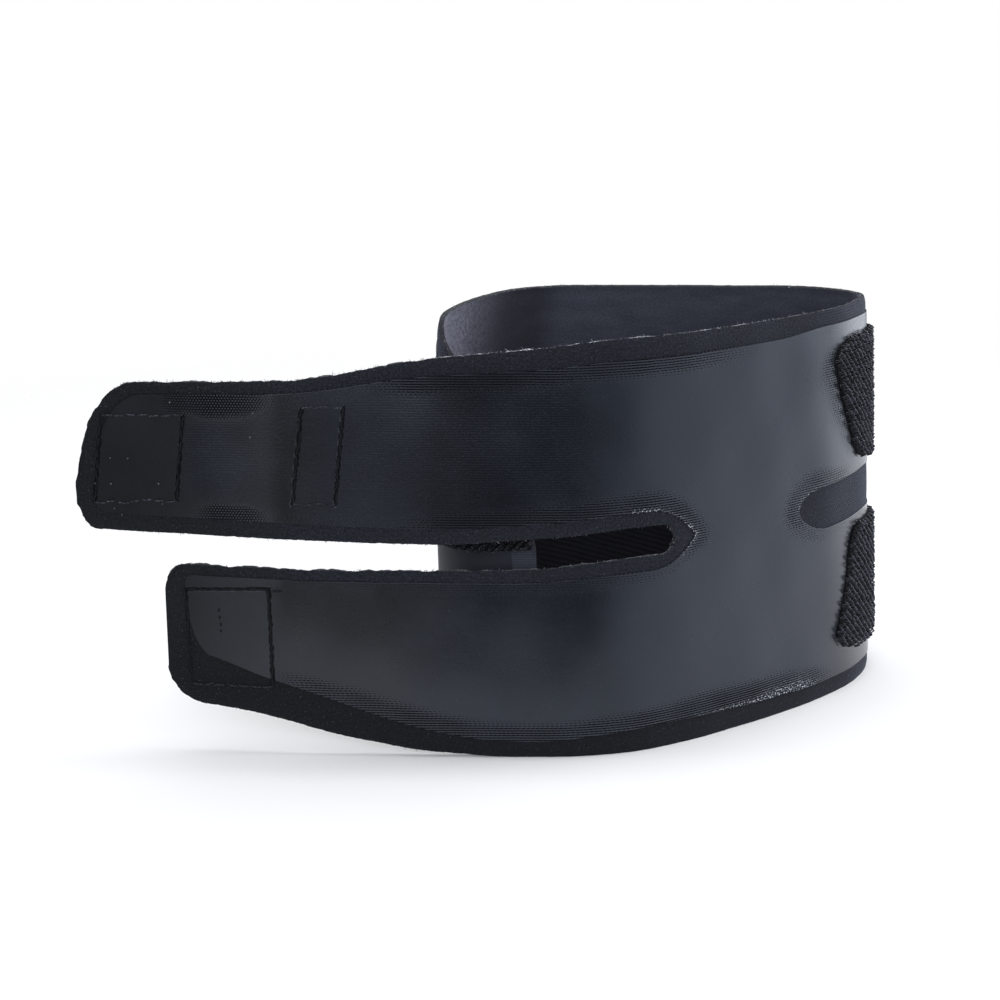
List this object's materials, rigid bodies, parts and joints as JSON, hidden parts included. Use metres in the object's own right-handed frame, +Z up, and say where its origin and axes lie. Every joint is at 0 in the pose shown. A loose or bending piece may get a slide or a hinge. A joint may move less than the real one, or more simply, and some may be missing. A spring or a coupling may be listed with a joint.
{
  "type": "wrist brace",
  "caption": "Soft wrap-round wrist brace: a stretch-knit band with a satin outer film, split into straps with hook tabs that close on loop pile round the back, stood on its lower edge.",
  "frame": {"origin": "on the surface that the brace stands on, under the middle of its box", "axes": "+Z up, across the band; +X along the front from the strap tips to the loop; -Y towards the front"},
  "size_m": [0.1494, 0.0614, 0.075],
  "materials": {
    "knit": "brushed stretch knit",
    "film": "satin film with a faint rib",
    "loop_pile": "looped pile",
    "hook_tape": "fine moulded hooks"
  },
  "bodies": {
    "root": {"fabric_wrap": "knit", "outer_film": "film", "loop_pad_upper": "loop_pile", "loop_pad_lower": "loop_pile", "hook_tab_upper": "hook_tape", "hook_tab_lower": "hook_tape"}
  },
  "joints": []
}
